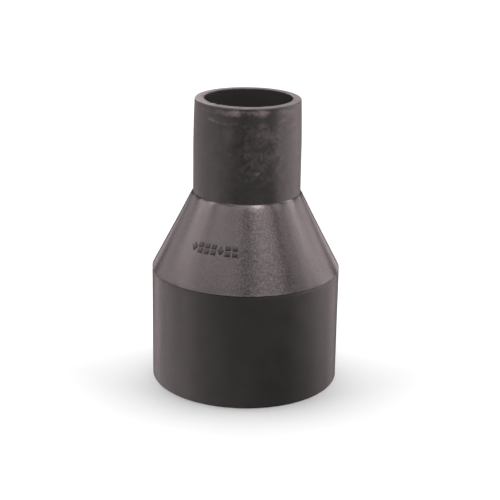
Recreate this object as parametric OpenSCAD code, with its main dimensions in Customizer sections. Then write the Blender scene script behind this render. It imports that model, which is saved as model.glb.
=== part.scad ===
// Spigot reducer for butt-fused polyethylene pipe: a 160 mm end and a 90 mm end on one
// straight axis, with a straight cone between them. The real fitting is one moulding.
// Its zones are separate solids here, which meet face to face on the edges that show outside.
//
// Frame: millimetres, +Z up through the small end. The origin is the centre of the large
// end's flat fusion face, on which the fitting stands.

/* [Large spigot] */
// Outer diameter of the large end
large_od = 160; // [150:1:180]
// Wall of the large end, for a diameter-to-wall ratio of 11
large_wall = 14.6; // [12:0.1:16]
// Length of the large end up to the cone's edge
large_length = 98.5; // [80:0.5:140]

/* [Small spigot] */
// Outer diameter of the small end: a nominal 90 mm, at the top of its 0.6 mm tolerance
small_od = 90.6; // [80:0.2:100]
// Wall of the small end, for a diameter-to-wall ratio of 11: 8.2 mm at least
small_wall = 8.4; // [6:0.1:10]
// Length of the small end from the cone's edge
small_length = 79; // [60:1:110]
// How much the rim's radius has drawn in as the moulding cooled
toe_in = 1.0; // [0:0.1:1.5]
// Length of the stretch that has drawn in
toe_in_length = 40; // [20:1:50]

/* [Cone] */
// Height of the outer cone
cone_length = 66.5; // [55:0.5:90]
// How far below the outer cone's foot the bore starts to narrow
bore_lead = 7; // [3:0.5:12]
// How far below the outer cone's top the bore reaches the small size
bore_lag = 6; // [3:0.5:10]

/* [End edges] */
// Radius on the outer edge of each end
edge_radius = 1.0; // [0.5:0.1:2]
// Chamfer on the inner edge of each end
bore_chamfer = 0.6; // [0.2:0.1:1]

/* [Size mark] */
// How far the marks stand out from the cone
mark_height = 0.6; // [0.3:0.1:1]
// Length of a mark up the slope of the cone
mark_size = 8.8; // [5:0.1:9.5]
// Width of a mark around the cone
mark_width = 4.4; // [3:0.1:5]
// Gap between the two pads of a mark
mark_gap = 1; // [0.6:0.1:1.6]
// Height of the row's middle above the cone's foot
mark_rise = 31.9; // [20:0.1:40]
// Direction of the first mark around the axis, from -Y towards +X
mark_start = -40.9; // [-60:0.1:-30]
// Turn from one mark to the next
mark_pitch = 5.5; // [5.4:0.1:6]

/* [Hidden] */

large_r = large_od / 2;
small_r = small_od / 2;
large_bore_r = large_r - large_wall;
small_bore_r = small_r - small_wall;
cone_top_z = large_length + cone_length;
rim_z = cone_top_z + small_length;
toe_start_z = rim_z - toe_in_length;
rim_r = small_r - toe_in;
mark_z = large_length + mark_rise;

// Where the bore's own cone starts and ends.
bore_cone_start_z = large_length - bore_lead;
bore_cone_end_z = cone_top_z - bore_lag;

cone_slope = (large_r - small_r) / cone_length;
cone_half_angle = atan(cone_slope);

TOE_STEPS = 10;   // bands in the drawn-in stretch
TOE_POWER = 1.5;  // how late the drawing-in comes: 1 is a plain cone
EDGE_STEPS = 5;   // bands in an edge radius
TURN_FN = 180;

POLYETHYLENE = [0.16, 0.15, 0.15];
POLYETHYLENE_MATT = [0.38, 0.35, 0.36];
POLYETHYLENE_MARK = [0.24, 0.22, 0.22];

function cone_r(z) = large_r - (z - large_length) * cone_slope;

function bore_r(z) =
    z <= bore_cone_start_z ? large_bore_r :
    z >= bore_cone_end_z ? small_bore_r :
    large_bore_r - (large_bore_r - small_bore_r)
        * (z - bore_cone_start_z) / (bore_cone_end_z - bore_cone_start_z);

function toe_r(share) = small_r - toe_in * pow(share, TOE_POWER);

// Points of an arc from angle a to angle b.
function arc(middle, r, a, b, steps) =
    [for (i = [0:steps]) let (t = a + (b - a) * i / steps) middle + r * [cos(t), sin(t)]];

module turned(outline) {
    rotate_extrude($fn = TURN_FN)
        polygon(outline);
}

module large_spigot() {
    color(POLYETHYLENE)
        turned(concat(
            [[large_bore_r, bore_cone_start_z],
             [large_bore_r, bore_chamfer],
             [large_bore_r + bore_chamfer, 0]],
            arc([large_r - edge_radius, edge_radius], edge_radius, -90, 0, EDGE_STEPS),
            [[large_r, large_length],
             [bore_r(large_length), large_length]]));
}

module reducing_cone() {
    color(POLYETHYLENE_MATT)
        turned([
            [bore_r(large_length), large_length],
            [large_r, large_length],
            [small_r, cone_top_z],
            [small_bore_r, cone_top_z],
            [small_bore_r, bore_cone_end_z]]);
}

module small_spigot() {
    rim_corner = [rim_r - edge_radius, rim_z - edge_radius];
    drawn_in_length = toe_in_length - edge_radius;
    color(POLYETHYLENE)
        turned(concat(
            [[small_bore_r, cone_top_z],
             [small_r, cone_top_z]],
            [for (i = [0:TOE_STEPS]) let (share = i / TOE_STEPS)
                [toe_r(share), toe_start_z + share * drawn_in_length]],
            arc(rim_corner, edge_radius, 90 / EDGE_STEPS, 90, EDGE_STEPS - 1),
            [[small_bore_r + bore_chamfer, rim_z],
             [small_bore_r, rim_z - bore_chamfer]]));
}

// The layer that stands mark_height out from the cone's outside.
module mark_layer() {
    reach = mark_height / cos(cone_half_angle);
    turned([
        [large_r, large_length],
        [large_r + reach, large_length],
        [small_r + reach, cone_top_z],
        [small_r, cone_top_z]]);
}

// Holds a flat shape square to the cone's surface, with its Y up the slope.
module on_cone(azimuth) {
    rotate([0, 0, azimuth])
        translate([0, -cone_r(mark_z), mark_z])
            rotate([90 - cone_half_angle, 0, 0])
                linear_extrude(height = 4 * mark_height, center = true)
                    children();
}

module stacked_pads() {
    pad = (mark_size - mark_gap) / 2;
    for (side = [-1, 1])
        translate([0, side * (mark_size - pad) / 2])
            square([mark_width, pad], center = true);
}

module lozenge() {
    scale([0.75, 1])
        rotate(45)
            square(mark_size * 0.6, center = true);
}

// A blank stand-in for moulded size figures: plain shapes, and no letters or numbers.
MARK_ROW = ["lozenge", "pads", "pads", "pads", "lozenge", "pads", "pads"];

module size_mark() {
    color(POLYETHYLENE_MARK)
        intersection() {
            mark_layer();
            union()
                for (i = [0:len(MARK_ROW) - 1])
                    on_cone(mark_start + i * mark_pitch)
                        if (MARK_ROW[i] == "pads")
                            stacked_pads();
                        else
                            lozenge();
        }
}

large_spigot();
reducing_cone();
small_spigot();
size_mark();
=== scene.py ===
"""Looks of a black polyethylene pipe reducer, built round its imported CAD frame. Metres, +Z up."""

import math

import bmesh
import bpy
import numpy as np
from mathutils import Matrix, Vector

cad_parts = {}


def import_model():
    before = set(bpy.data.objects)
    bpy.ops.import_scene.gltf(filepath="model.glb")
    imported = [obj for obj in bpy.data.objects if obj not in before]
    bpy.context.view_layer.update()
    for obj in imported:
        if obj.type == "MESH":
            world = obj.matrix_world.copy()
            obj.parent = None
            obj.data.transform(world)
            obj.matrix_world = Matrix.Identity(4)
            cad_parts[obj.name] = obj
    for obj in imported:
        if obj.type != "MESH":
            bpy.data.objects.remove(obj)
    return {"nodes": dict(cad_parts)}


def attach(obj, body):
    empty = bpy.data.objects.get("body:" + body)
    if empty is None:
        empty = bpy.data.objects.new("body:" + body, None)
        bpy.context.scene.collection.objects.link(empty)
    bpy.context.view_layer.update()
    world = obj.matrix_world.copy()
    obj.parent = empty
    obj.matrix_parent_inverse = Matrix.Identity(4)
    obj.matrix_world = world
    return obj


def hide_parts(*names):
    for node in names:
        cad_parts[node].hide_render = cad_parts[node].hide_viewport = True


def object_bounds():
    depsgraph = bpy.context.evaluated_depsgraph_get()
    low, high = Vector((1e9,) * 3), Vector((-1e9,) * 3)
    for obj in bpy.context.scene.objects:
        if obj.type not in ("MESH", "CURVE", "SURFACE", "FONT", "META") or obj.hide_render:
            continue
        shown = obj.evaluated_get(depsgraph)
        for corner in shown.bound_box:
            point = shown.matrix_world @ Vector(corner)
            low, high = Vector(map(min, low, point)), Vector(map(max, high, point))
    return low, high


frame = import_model()
cad_low, cad_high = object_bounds()
MM = 0.001


# ---------------------------------------------------------------- sizes from the frame

def outline(node):
    """Radius and height of every corner of a CAD node."""
    co = np.array([v.co for v in frame["nodes"][node].data.vertices], float)
    return np.hypot(co[:, 0], co[:, 1]), co[:, 2]


large_rs, large_zs = outline("large_spigot")
cone_rs, cone_zs = outline("reducing_cone")
small_rs, small_zs = outline("small_spigot")

CLOSE = 0.05 * MM                                     # slack when radii are compared
LARGE_R = large_rs.max()
LARGE_BORE_R = large_rs[large_zs < 0.5 * large_zs.max()].min()
SMALL_BORE_R = small_rs.min()
SMALL_R = small_rs.max()
FOOT_Z = cone_zs[cone_rs > LARGE_R - 1 * MM].min()    # where the cone starts
NECK_Z = small_zs.min()                               # where the cone ends
RIM_Z = small_zs.max()
RIM_R = small_rs[small_zs > RIM_Z - 1.5 * MM].max()
# This comes out as the zone joint at FOOT_Z. In the CAD, the bore starts to narrow 7 mm lower.
BORE_CONE_LOW = large_zs[large_rs < LARGE_BORE_R + CLOSE].max()
BORE_CONE_HIGH = cone_zs[cone_rs < SMALL_BORE_R + CLOSE].min()
HALF_ANGLE = math.atan((LARGE_R - SMALL_R) / (NECK_Z - FOOT_Z))
TOE_LENGTH = 40 * MM                                  # stretch below the rim that has drawn in
TOE_POWER = 1.5                                       # how late the drawing-in comes
CORE_SHIFT = (0.4 * MM, 0.9 * MM, 0.0)                # how far the bore sits off the axis at the rim
EDGE_R = 1.0 * MM                                     # radius on the outer edge of each end
BORE_EDGE = 0.6 * MM                                  # radius on the inner edge of each end
LARGE_AROUND, CONE_AROUND, SMALL_AROUND = 560, 640, 500    # points around each turned mesh
SMALL_ROWS = 128                                      # rows up the outside of the small spigot


def bore_radius(z):
    """Radius of the bore at a height, with its cone from BORE_CONE_LOW to BORE_CONE_HIGH."""
    share = (z - BORE_CONE_LOW) / (BORE_CONE_HIGH - BORE_CONE_LOW)
    return LARGE_BORE_R + (SMALL_BORE_R - LARGE_BORE_R) * min(1.0, max(0.0, share))


# ---------------------------------------------------------------- noise for real surface relief

def lattice(cell, seed):
    """A fixed pseudo-random value from 0 to 1 at each whole-number point."""
    h = cell[..., 0] * 374761393 + cell[..., 1] * 668265263 + cell[..., 2] * 1440662683 + seed * 69069
    h = h & 0xFFFFFFFF
    h = ((h ^ (h >> 13)) * 1274126177) & 0xFFFFFFFF
    h = ((h ^ (h >> 15)) * 2246822519) & 0xFFFFFFFF
    return ((h ^ (h >> 16)) & 0xFFFF) / 65535.0


def relief(points, size, seed):
    """Smooth noise from -1 to 1 whose bumps are about size wide (a number, or one per axis)."""
    p = points / np.asarray(size, float)
    low = np.floor(p).astype(np.int64)
    f = p - low
    w = f * f * (3 - 2 * f)
    total = 0.0
    for dx in (0, 1):
        for dy in (0, 1):
            for dz in (0, 1):
                share = (
                    (w[..., 0] if dx else 1 - w[..., 0])
                    * (w[..., 1] if dy else 1 - w[..., 1])
                    * (w[..., 2] if dz else 1 - w[..., 2])
                )
                total = total + share * lattice(low + np.array([dx, dy, dz]), seed)
    return 2 * total - 1


def step(low, high, x):
    """0 at low and 1 at high, eased at both ends. It falls with x where low is above high."""
    t = np.clip((x - low) / (high - low), 0, 1)
    return t * t * (3 - 2 * t)


# ---------------------------------------------------------------- turned meshes

SHARP_ANGLE = math.radians(35)


def line(a, b, pitch):
    """Points from a towards b, b left out, about pitch apart."""
    n = max(1, round(math.dist(a, b) / pitch))
    return [(a[0] + (b[0] - a[0]) * i / n, a[1] + (b[1] - a[1]) * i / n) for i in range(n)]


def arc(middle, r, start, end, steps):
    """Points on an arc, both ends kept. Angles in degrees from +r towards +z."""
    return [
        (middle[0] + r * math.cos(math.radians(t)), middle[1] + r * math.sin(math.radians(t)))
        for t in np.linspace(start, end, steps + 1)
    ]


def placed(r, a, z):
    """Points at a radius, an azimuth from -Y towards +X, and a height."""
    return np.stack([r * np.sin(a), -r * np.cos(a), z], -1)


def degrees_from_front(a):
    """An azimuth in radians as degrees from -180 to 180."""
    return (np.degrees(a) + 180) % 360 - 180


def turned(name, profile, around, move, shift=None):
    """Turns a closed outline of (radius, height) about Z. move(points, azimuth, r, z) gives how far
    each point goes along its outline's normal, and what it is marked with. shift(r, z) gives the
    share of CORE_SHIFT that each point then goes sideways."""
    profile = np.array(profile)
    n = len(profile)
    azimuth = np.arange(around) / around * 2 * math.pi
    r = np.repeat(profile[:, 0][:, None], around, 1)
    z = np.repeat(profile[:, 1][:, None], around, 1)
    a = np.repeat(azimuth[None, :], n, 0)
    run = np.roll(profile, -1, 0) - np.roll(profile, 1, 0)
    run /= np.linalg.norm(run, axis=1)[:, None]
    out_r, out_z = run[:, 1][:, None], -run[:, 0][:, None]
    rise, marks = move(placed(r, a, z), a, r, z)
    side = shift(r, z)[..., None] * np.array(CORE_SHIFT) if shift else 0.0
    r = r + out_r * rise
    z = z + out_z * rise
    points = (placed(r, a, z) + side).reshape(-1, 3)

    i, j = np.meshgrid(np.arange(n), np.arange(around), indexing="ij")
    i2, j2 = (i + 1) % n, (j + 1) % around
    quads = np.stack([i * around + j, i * around + j2, i2 * around + j2, i2 * around + j], -1)
    mesh = bpy.data.meshes.new(name)
    mesh.from_pydata(points.tolist(), [], quads.reshape(-1, 4).tolist())
    for key, value in marks.items():
        layer = mesh.attributes.new(key, "FLOAT", "POINT")
        layer.data.foreach_set("value", np.asarray(value, np.float32).ravel())
    mesh.shade_smooth()
    mesh.set_sharp_from_angle(angle=SHARP_ANGLE)
    mesh.update()
    made = bpy.data.objects.new(name, mesh)
    bpy.context.scene.collection.objects.link(made)
    return made


# ---------------------------------------------------------------- the three zones

def large_spigot():
    """The 160 mm cylinder, with a slight sink in its wall and a tuck just under the cone."""
    profile = line((bore_radius(FOOT_Z), FOOT_Z), (LARGE_BORE_R, BORE_CONE_LOW), 2 * MM)
    profile += line((LARGE_BORE_R, BORE_CONE_LOW), (LARGE_BORE_R, BORE_EDGE), 4 * MM)
    profile += arc((LARGE_BORE_R + BORE_EDGE, BORE_EDGE), BORE_EDGE, 180, 270, 4)
    profile += line((LARGE_BORE_R + 1.4 * BORE_EDGE, 0), (LARGE_R - 1.3 * EDGE_R, 0), 2.4 * MM)
    profile += arc((LARGE_R - EDGE_R, EDGE_R), EDGE_R, -90, 0, 6)
    profile += line((LARGE_R, 1.4 * EDGE_R), (LARGE_R, FOOT_Z - 3 * MM), 1.3 * MM)
    profile += line((LARGE_R, FOOT_Z - 3 * MM), (LARGE_R, FOOT_Z), 0.5 * MM)
    profile += [(LARGE_R, FOOT_Z)]

    def move(p, a, r, z):
        outer = (r > LARGE_R - 0.5 * MM) & (z > 1.2 * EDGE_R)
        calm = step(FOOT_Z - 0.3 * MM, FOOT_Z - 3 * MM, z) * step(EDGE_R, 4 * EDGE_R, z)
        sink = -0.06 * MM * (0.5 + 0.5 * relief(p, (0.05, 0.05, 0.07), 11))
        peel = 0.007 * MM * relief(p, 0.004, 12)
        tuck = -0.2 * MM * step(FOOT_Z - 2.6 * MM, FOOT_Z - 0.3 * MM, z)
        bore_wall = (r < LARGE_BORE_R + 0.3 * MM) & (z > BORE_EDGE)
        inside = (bore_wall | (z > FOOT_Z - 0.1 * MM)) & ~outer
        return np.where(outer, (sink + peel) * calm + tuck, 0.0), {"inside": inside}

    return turned("large_spigot_shell", profile, LARGE_AROUND, move)


NECK_ROWS = (3.0, 2.4, 1.9, 1.5, 1.15, 0.9, 0.7, 0.5, 0.3, 0.12)    # mm down the slope from the neck


def reducing_cone():
    """The cone, with a moulding grain that is coarsest in front and marked there for painted glints on its
    tips, and a swell that rounds into the neck.
    """
    slope = np.array([-math.sin(HALF_ANGLE), math.cos(HALF_ANGLE)])
    foot = np.array([LARGE_R, FOOT_Z])
    neck = np.array([SMALL_R, NECK_Z])
    start = foot + 0.4 * MM * slope
    last_even_row = neck - NECK_ROWS[0] * MM * slope
    profile = [tuple(foot), tuple(foot + 0.16 * MM * slope + np.array([0.02 * MM, 0]))]
    profile += line(tuple(start), tuple(last_even_row), 0.6 * MM)
    profile += [tuple(neck - back * MM * slope) for back in NECK_ROWS]
    profile += line((SMALL_R, NECK_Z), (SMALL_BORE_R, NECK_Z), 4 * MM)
    profile += line((SMALL_BORE_R, NECK_Z), (SMALL_BORE_R, BORE_CONE_HIGH), 2 * MM)
    profile += line((SMALL_BORE_R, BORE_CONE_HIGH), (bore_radius(FOOT_Z), FOOT_Z), 6 * MM)
    profile += line((bore_radius(FOOT_Z), FOOT_Z), tuple(foot), 5 * MM)

    def move(p, a, r, z):
        surface = LARGE_R - (z - FOOT_Z) * math.tan(HALF_ANGLE)
        outer = (r > surface - 0.3 * MM) & (z > FOOT_Z + 0.3 * MM) & (z < NECK_Z - 0.1 * MM)
        calm = step(FOOT_Z + 0.2 * MM, FOOT_Z + 2 * MM, z) * step(NECK_Z, NECK_Z - 2 * MM, z)
        az = degrees_from_front(a)
        # how deep the grain is, and how many painted glints its tips get, most a little right of front
        grain_and_glint = 0.18 + 0.28 * step(62, 25, abs(az - 5)) + 0.85 * step(26, 6, abs(az - 11))
        grain_and_glint = grain_and_glint * step(NECK_Z, NECK_Z - 4 * MM, z)
        grain = grain_and_glint * (0.020 * MM * relief(p, 1.9 * MM, 21) + 0.020 * MM * relief(p, 3.4 * MM, 22))
        sink = 0.05 * MM * relief(p, (0.03, 0.03, 0.05), 23)
        back = (NECK_Z - z) / slope[1] / MM    # mm down the slope from the neck
        crown = 0.28 * MM * back / 7 * np.exp(1 - back / 7)
        shoulder = 0.18 * MM * (1 - np.exp(-back / 1.1)) * np.exp(-back / 8)
        rise = (grain + sink) * calm + crown + shoulder
        inside = ~outer & (r < surface - 2 * MM)
        return np.where(outer, rise, 0.0), {"inside": inside, "grain_and_glint": grain_and_glint}

    return turned("reducing_cone_shell", profile, CONE_AROUND, move)


def toe_radius(z):
    """Outer radius of the small spigot at a height, which draws in towards the rim."""
    share = np.clip((z - (RIM_Z - TOE_LENGTH)) / (TOE_LENGTH - EDGE_R), 0, 1)
    return SMALL_R - (SMALL_R - RIM_R) * share**TOE_POWER


# Scuffs on the small spigot: azimuth and depth below the rim of the middle, half width in degrees,
# half height in mm, strength.
BLOTCHES = (
    (-15, 4.3, 10, 2.8, 0.75), (-9, 2.6, 7, 1.6, 0.3), (13, 3.8, 10, 3.0, 0.75), (19, 2.8, 5, 1.8, 0.4),
    (1, 3.0, 6, 1.6, 0.3), (-30, 3.4, 7, 1.6, 0.25), (47, 4.6, 15, 1.0, 0.3), (54, 7.2, 12, 0.9, 0.22),
    (40, 11, 6, 1.2, 0.25), (58, 16.5, 8, 1.6, 0.2), (16, 13.5, 6, 2.5, 0.25), (17, 21.5, 7, 4.5, 0.22),
    (25, 24, 5, 3.5, 0.16), (20, 40.6, 9, 5, 0.16), (28, 37, 6, 4, 0.12), (10.8, 53.5, 3, 1.5, 0.4),
    (3, 37, 6, 4, 0.12), (-18, 38, 3, 2, 0.14), (-19, 22, 8, 9, 0.12), (-40, 11, 4, 1.6, 0.2),
)
# Scratches: azimuth and depth of both ends, how far the middle hangs in mm, half width in mm, strength.
SCRATCHES = (
    (-47, 10.5, -10, 12.2, 1.6, 0.7, 0.38), (-30, 12.8, -27, 30, 0.0, 0.7, -0.35),
    (8, 13, 24, 17, -1.0, 0.6, 0.25), (34, 3.0, 70, 2.6, 0.3, 0.5, 0.3), (33, 6.2, 66, 5.6, 0.3, 0.5, 0.25),
    (36, 9.0, 60, 8.6, 0.3, 0.5, 0.2), (-60, 4.0, -24, 5.2, 0.4, 0.6, 0.2),
)


MM_PER_DEGREE = 0.79    # around the small spigot's outside


def scuffing(p, a, z):
    """How worn each point of the small spigot is, from -1 (polished dark) to 1 (rubbed pale)."""
    az = degrees_from_front(a)
    down = (RIM_Z - z) / MM
    frayed = relief(p, 1.6 * MM, 41)
    total = 0.0
    for mid_az, mid_down, half_az, half_down, strength in BLOTCHES:
        away = np.hypot((az - mid_az) / half_az, (down - mid_down) / half_down)
        total = total + strength * step(1.3, 0.1, away + 0.35 * frayed)
    for az0, down0, az1, down1, sag, half_width, strength in SCRATCHES:
        upright = abs(az1 - az0) * 0.8 < abs(down1 - down0)
        along = (down - down0) / (down1 - down0) if upright else (az - az0) / (az1 - az0)
        inside = step(-0.02, 0.05, along) * step(1.02, 0.95, along)
        if upright:
            off = (az - (az0 + (az1 - az0) * along)) * MM_PER_DEGREE
        else:
            off = down - (down0 + (down1 - down0) * along + 4 * sag * along * (1 - along))
        broken = step(-0.6, 0.3, relief(p, 2.6 * MM, 42))
        total = total + strength * inside * broken * np.exp(-((off / half_width) ** 2))
    zone = 0.25 + 0.75 * step(-14, 2, az) * step(46, 30, az) * step(9, 16, down) * step(70, 52, down)
    mottle = 0.75 * relief(p, 1.9 * MM, 43) + 0.45 * relief(p, 4.2 * MM, 44)
    front = step(75, 40, abs(az - 5))
    total = total + front * zone * (0.08 + 0.21 * mottle)
    return np.clip(total, -1, 1)


def small_spigot():
    """The 90 mm cylinder with its rim: scuffed in front, turning marks below the rim, a chipped lip."""
    profile = [(SMALL_BORE_R, NECK_Z)]
    profile += line((SMALL_BORE_R + 1 * MM, NECK_Z), (SMALL_R, NECK_Z), 3 * MM)
    heights = np.linspace(NECK_Z, RIM_Z - EDGE_R, SMALL_ROWS)
    profile += [(float(toe_radius(z)), float(z)) for z in heights]
    profile += arc((RIM_R - EDGE_R, RIM_Z - EDGE_R), EDGE_R, 0, 90, 6)[1:]
    profile += line((RIM_R - 1.3 * EDGE_R, RIM_Z), (SMALL_BORE_R + BORE_EDGE, RIM_Z), 0.8 * MM)
    profile += arc((SMALL_BORE_R + BORE_EDGE, RIM_Z - BORE_EDGE), BORE_EDGE, 90, 180, 4)
    profile += line((SMALL_BORE_R, RIM_Z - 1.5 * BORE_EDGE), (SMALL_BORE_R, NECK_Z), 2 * MM)

    def move(p, a, r, z):
        outer = (r > toe_radius(z) - 0.3 * MM) & (z > NECK_Z + 0.2 * MM) & (z < RIM_Z - 0.9 * EDGE_R)
        lip = (z > RIM_Z - 0.8 * MM) & (r < SMALL_BORE_R + 1.6 * MM)
        calm = step(NECK_Z, NECK_Z + 2 * MM, z)
        sink = -0.08 * MM * (0.5 + 0.5 * relief(p, (0.03, 0.03, 0.035), 31))
        peel = 0.008 * MM * relief(p, 2.4 * MM, 32)
        near_rim = step(RIM_Z - 16 * MM, RIM_Z - 8 * MM, z)
        turning = 0.012 * MM * relief(p, (0.02, 0.02, 0.9 * MM), 33) * near_rim
        worn = np.where(outer, scuffing(p, a, z), 0.0)
        dent = -0.03 * MM * worn + 0.02 * MM * worn * relief(p, 1.3 * MM, 34)
        az = degrees_from_front(a)
        chipped = 0.35 + 0.65 * step(-75, -55, az) * step(-8, -22, az)
        chips = -0.45 * MM * chipped * step(0.1, 0.8, relief(p, 2.2 * MM, 35))
        rise = np.where(outer, (sink + peel + turning + dent) * calm, np.where(lip, chips, 0.0))
        inside = (r < SMALL_BORE_R + 0.3 * MM) & (z < RIM_Z - BORE_EDGE)
        return rise, {"worn": worn, "inside": inside}

    def shift(r, z):
        return step(RIM_R - 1.5 * MM, SMALL_BORE_R, r) * step(NECK_Z, RIM_Z - 10 * MM, z)

    return turned("small_spigot_shell", profile, SMALL_AROUND, move, shift)


def size_mark():
    """The CAD marks with their edges rounded, as marks cut in a mould come out."""
    source = frame["nodes"]["size_mark"]
    mesh = source.data.copy()
    mesh.name = "size_mark_raised"
    mesh.materials.clear()
    bm = bmesh.new()
    bm.from_mesh(mesh)
    bmesh.ops.remove_doubles(bm, verts=bm.verts, dist=0.002 * MM)
    bmesh.ops.dissolve_limit(bm, angle_limit=math.radians(4), verts=bm.verts, edges=bm.edges)
    corner = math.radians(40)
    edges = [e for e in bm.edges if len(e.link_faces) == 2 and e.calc_face_angle() > corner]
    bmesh.ops.bevel(bm, geom=edges, offset=0.22 * MM, segments=3, profile=0.5, affect="EDGES",
                    clamp_overlap=True)
    bmesh.ops.recalc_face_normals(bm, faces=bm.faces)
    bm.to_mesh(mesh)
    bm.free()
    mesh.shade_smooth()
    mesh.set_sharp_from_angle(angle=math.radians(50))
    made = bpy.data.objects.new("size_mark_raised", mesh)
    bpy.context.scene.collection.objects.link(made)
    return made


# ---------------------------------------------------------------- materials

def node(tree, kind, inputs=None, **settings):
    """A new node. A socket given as an input is linked, and anything else is set."""
    made = tree.nodes.new(kind)
    for key, value in settings.items():
        setattr(made, key, value)
    for key, value in (inputs or {}).items():
        if isinstance(value, bpy.types.NodeSocket):
            tree.links.new(value, made.inputs[key])
        else:
            made.inputs[key].default_value = value
    return made


def noise(tree, where, scale, detail):
    return node(tree, "ShaderNodeTexNoise", {"Vector": where, "Scale": scale, "Detail": detail,
                                             "Roughness": 0.5}).outputs["Fac"]


def remap(tree, value, a, b, c, d):
    return node(tree, "ShaderNodeMapRange", {"Value": value, "From Min": a, "From Max": b,
                                             "To Min": c, "To Max": d}).outputs["Result"]


def bump(tree, height, distance):
    return node(tree, "ShaderNodeBump", {"Height": height, "Strength": 1.0,
                                         "Distance": distance}).outputs["Normal"]


def mix_color(tree, share, a, b):
    """Colour a turning to colour b. The Mix node names its sockets alike, so they go by number."""
    made = node(tree, "ShaderNodeMix", {0: share, 6: a, 7: b}, data_type="RGBA")
    return made.outputs[2]


def multiply(tree, a, b, clamp=True):
    made = node(tree, "ShaderNodeMath", {0: a, 1: b}, operation="MULTIPLY", use_clamp=clamp)
    return made.outputs[0]


def marked(tree, name):
    """A value that turned() left on the mesh."""
    return node(tree, "ShaderNodeAttribute", attribute_name=name).outputs["Fac"]


PAINTED_GLINT = (0.066, 0.065, 0.065, 1)          # painted glints on the tips of the coarse grain
POLISHED = (0.008, 0.009, 0.0085, 1)      # dark scratches
BORE_BLACK = (0.022, 0.025, 0.0235, 1)
BORE_SHINE = 0.15
POLYETHYLENE_IOR = 1.51
CLOUD_SCALE, GLOSS_SCALE, SPECKLE_SCALE = 60.0, 220.0, 800.0    # noise steps in a metre


def plastic(name, dark, light, rough, grain_size, grain_depth, worn=None, grain_and_glint=False, bore=True,
            shine=0.5):
    """Black polyethylene: cloudy colour and gloss, and a fine grain. Where the mesh is marked as worn,
    it turns to the worn colour, speckled, and where marked for coarse grain, the grain is deeper and its
    tips get painted glints of a paler grey. With a bore, what is marked as inside is duller."""
    made = bpy.data.materials.new(name)
    made.use_nodes = True
    tree = made.node_tree
    tree.nodes.clear()
    where = node(tree, "ShaderNodeTexCoord").outputs["Object"]
    clouds = noise(tree, where, CLOUD_SCALE, 4.0)
    color = mix_color(tree, remap(tree, clouds, 0.35, 0.65, 0.0, 1.0), (*dark, 1), (*light, 1))
    if worn:
        mark = marked(tree, "worn")
        speckle = remap(tree, noise(tree, where, SPECKLE_SCALE, 3.0), 0.3, 0.7, 0.6, 1.4)
        rubbed = multiply(tree, mark, speckle)
        color = mix_color(tree, rubbed, color, (*worn, 1))
        color = mix_color(tree, remap(tree, mark, -1.0, 0.0, 1.0, 0.0), color, POLISHED)
    if bore:
        inside = marked(tree, "inside")
        color = mix_color(tree, inside, color, BORE_BLACK)
        shine = remap(tree, inside, 0.0, 1.0, shine, BORE_SHINE)
    gloss = remap(tree, noise(tree, where, GLOSS_SCALE, 3.0), 0.3, 0.7, rough[0], rough[1])
    grain = noise(tree, where, 1 / grain_size, 2.0)
    if grain_and_glint:
        # painted glints: the grain's tips turn a paler grey where the mesh is marked for coarse grain
        depth = marked(tree, "grain_and_glint")
        glint_share = multiply(tree, remap(tree, grain, 0.42, 0.72, 0.0, 1.0), depth)
        color = mix_color(tree, glint_share, color, PAINTED_GLINT)
        grain = multiply(tree, grain, depth, clamp=False)
    normal = bump(tree, grain, grain_depth)
    shader = node(tree, "ShaderNodeBsdfPrincipled",
                  {"Base Color": color, "Roughness": gloss, "IOR": POLYETHYLENE_IOR,
                   "Specular IOR Level": shine, "Normal": normal})
    out = node(tree, "ShaderNodeOutputMaterial")
    tree.links.new(shader.outputs["BSDF"], out.inputs["Surface"])
    return made


PE_SMOOTH = plastic("pe_smooth", (0.0183, 0.0214, 0.0196), (0.0230, 0.0268, 0.0246), (0.40, 0.46),
                    1.3 * MM, 0.008 * MM)
PE_TEXTURED = plastic("pe_textured", (0.0230, 0.0250, 0.0240), (0.0280, 0.0305, 0.0292), (0.21, 0.27),
                      1.4 * MM, 0.040 * MM, grain_and_glint=True, shine=0.53)
PE_SCUFFED = plastic("pe_scuffed", (0.0183, 0.0214, 0.0196), (0.0235, 0.0272, 0.0251), (0.38, 0.46),
                     1.3 * MM, 0.008 * MM, worn=(0.155, 0.146, 0.149))
# The marks' darker colour is painted shade along their strokes.
PE_MARK_PAINTED_SHADE = plastic("pe_mark", (0.012, 0.014, 0.013), (0.016, 0.018, 0.017), (0.30, 0.38),
                  0.8 * MM, 0.004 * MM, bore=False, shine=0.36)


# ---------------------------------------------------------------- pieces on the frame

PIECES = (
    (large_spigot, "large_spigot", "pe_smooth", PE_SMOOTH),
    (reducing_cone, "reducing_cone", "pe_textured", PE_TEXTURED),
    (small_spigot, "small_spigot", "pe_scuffed", PE_SCUFFED),
    (size_mark, "size_mark", "pe_mark", PE_MARK_PAINTED_SHADE),
)
fitting = bpy.data.collections.new("fitting")
bpy.context.scene.collection.children.link(fitting)
for build, cad_node, slot_name, material in PIECES:
    piece = build()
    piece.data.materials.append(material)
    fitting.objects.link(piece)
    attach(piece, "root")
    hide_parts(cad_node)


# ---------------------------------------------------------------- floor, light and camera

ground = bpy.data.collections.new("ground")
bpy.context.scene.collection.children.link(ground)

FLOOR_HALF = 15.0
FLOOR_WHITE = (0.8, 0.8, 0.8, 1)
WORLD_STRENGTH = 1.45
CARD_DISTANCE = 1.6        # from the middle of the fitting

# Even light on the floor alone: azimuth, elevation, strength, and how wide the sun is in degrees.
FLOOR_SUNS = {
    "floor_sun_back": (180, 50, 3.67, 90),
    "floor_sun_left": (-90, 25, 2.55, 60),
    "floor_sun_right": (90, 25, 2.55, 60),
}

# The camera stands in front, looks down by the pitch, and is turned and tilted a little.
LENS = 95.93
CAMERA_AT = (0, -1.08253, 0.47202)
PITCH, YAW, ROLL = math.radians(18.420), math.radians(0.177), math.radians(0.850)


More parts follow.
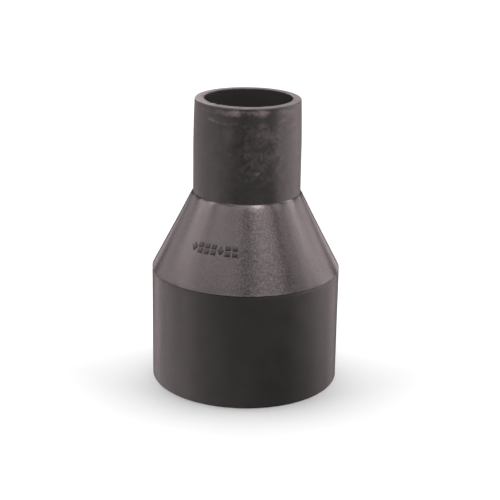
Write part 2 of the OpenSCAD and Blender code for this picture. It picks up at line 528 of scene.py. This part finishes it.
def floor():
    """A matt white floor that catches the fitting's shadow and gives the fitting no light back."""
    mesh = bpy.data.meshes.new("floor")
    corners = [(x * FLOOR_HALF, y * FLOOR_HALF, 0) for x, y in ((-1, -1), (1, -1), (1, 1), (-1, 1))]
    mesh.from_pydata(corners, [], [(0, 1, 2, 3)])
    made = bpy.data.objects.new("floor", mesh)
    bpy.context.scene.collection.objects.link(made)
    white = bpy.data.materials.new("floor_white")
    white.use_nodes = True
    shader = white.node_tree.nodes["Principled BSDF"]
    shader.inputs["Base Color"].default_value = FLOOR_WHITE
    shader.inputs["Roughness"].default_value = 1.0
    shader.inputs["Specular IOR Level"].default_value = 0.0
    mesh.materials.append(white)
    made.visible_glossy = False
    made.visible_diffuse = False
    made.visible_shadow = False
    ground.objects.link(made)


def direction(azimuth, elevation):
    """From the fitting towards a light. Azimuth 0 is in front (-Y), 90 is on +X."""
    a, e = math.radians(azimuth), math.radians(elevation)
    return Vector((math.sin(a) * math.cos(e), -math.cos(a) * math.cos(e), math.sin(e)))


def light(name, kind, back, receivers):
    """A light that shines from the direction back, on one collection alone."""
    made = bpy.data.objects.new(name, bpy.data.lights.new(name, kind))
    bpy.context.scene.collection.objects.link(made)
    made.rotation_mode = "QUATERNION"
    made.rotation_quaternion = back.to_track_quat("Z", "Y")
    made.light_linking.receiver_collection = receivers
    return made


def softbox(name, azimuth, elevation, watts, color, width, height):
    """A soft card at CARD_DISTANCE, out of the camera's sight, which lights the fitting alone."""
    back = direction(azimuth, elevation)
    made = light(name, "AREA", back, fitting)
    made.location = (cad_low + cad_high) / 2 + back * CARD_DISTANCE
    made.visible_camera = False
    made.data.shape = "RECTANGLE"
    made.data.size, made.data.size_y = width, height
    made.data.energy = watts
    made.data.color = color


def floor_sun(name, azimuth, elevation, strength, spread):
    """Soft even light on the floor alone, in which the fitting throws its shadow."""
    made = light(name, "SUN", direction(azimuth, elevation), ground)
    made.data.energy = strength
    made.data.angle = math.radians(spread)


def world():
    """A white backdrop that only the camera sees."""
    made = bpy.data.worlds.new("studio")
    bpy.context.scene.world = made
    made.use_nodes = True
    made.node_tree.nodes["Background"].inputs["Color"].default_value = (1, 1, 1, 1)
    made.node_tree.nodes["Background"].inputs["Strength"].default_value = WORLD_STRENGTH
    made.cycles_visibility.glossy = False
    made.cycles_visibility.diffuse = False


def camera():
    data = bpy.data.cameras.new("camera")
    data.sensor_width = 36.0
    data.lens = LENS
    data.clip_start, data.clip_end = 0.05, 60.0
    made = bpy.data.objects.new("camera", data)
    bpy.context.scene.collection.objects.link(made)
    turn = (Matrix.Rotation(math.pi / 2 - PITCH, 4, "X") @ Matrix.Rotation(-YAW, 4, "Y")
            @ Matrix.Rotation(ROLL, 4, "Z"))
    made.matrix_world = Matrix.Translation(CAMERA_AT) @ turn
    bpy.context.scene.camera = made


floor()
world()
camera()
for name, sun in FLOOR_SUNS.items():
    floor_sun(name, *sun)

# Soft panels round the fitting, each a row of cards on one elevation: elevation, first and last
# azimuth, gap between cards, and the watts of the first and last card, with an even ramp between
# them. The walls light the two cylinders, the high ones the cone, and the back ones the rim.
TINT = (1.0, 0.83, 0.86)
PANELS = {
    "bounce": (-40, -120, 0, 30, 2.1, 1.2),
    "wall_left_low": (-22, -135, -75, 30, 1.4, 1.4),
    "wall_right_low": (-22, 105, 135, 30, 1.1, 1.1),
    "wall_left": (-8, -150, -45, 21, 0.5, 0.9),
    "wall_right": (-8, 75, 150, 25, 3.4, 0.6),
    "wall_left_high": (8, -135, -105, 15, 0.6, 0.9),
    "wall_right_high": (8, 105, 135, 15, 1.5, 0.8),
    "fill_right": (-8, 30, 30, 30, 1.0, 1.0),
    "side_left": (22, -105, -60, 15, 2.2, 0.8),
    "side_right": (22, 75, 105, 15, 0.6, 2.5),
    "back_left": (22, -165, -165, 15, 6.0, 6.0),
    "back_right": (22, 165, 180, 15, 2.8, 1.0),
    "top_left": (36, -84, -84, 12, 3.4, 3.4),
    "top_front_left": (36, -60, -12, 12, 1.4, 0.7),
    "top_front_right": (36, 12, 48, 12, 0.4, 1.3),
    "top_right": (36, 72, 108, 36, 2.0, 3.8),
    "strip_left": (50, -24, 12, 12, 0.9, 1.2),
    "strip_right": (50, 24, 36, 12, 6.2, 4.2),
    "over_left": (66, -60, -60, 12, 5.4, 5.4),
    "over_right": (66, 84, 84, 12, 8.6, 8.6),
    "overhead": (80, -60, -60, 12, 13.0, 13.0),
}
# Width and height of the cards, for the elevations that have their own.
CARD_SIZE = {-40: (0.50, 0.42), 36: (0.33, 0.42), 50: (0.30, 0.42), 66: (0.40, 0.42), 80: (0.42, 0.42)}
USUAL_CARD_SIZE = (0.42, 0.36)
for name, (elevation, first, last, gap, watts_first, watts_last) in PANELS.items():
    cards = (last - first) // gap + 1
    for i, watts in enumerate(np.linspace(watts_first, watts_last, cards)):
        width, height = CARD_SIZE.get(elevation, USUAL_CARD_SIZE)
        softbox(f"{name}_{i}", first + i * gap, elevation, float(watts), TINT, width, height)

bpy.context.scene.view_settings.view_transform = "Standard"
bpy.context.scene.view_settings.look = "None"
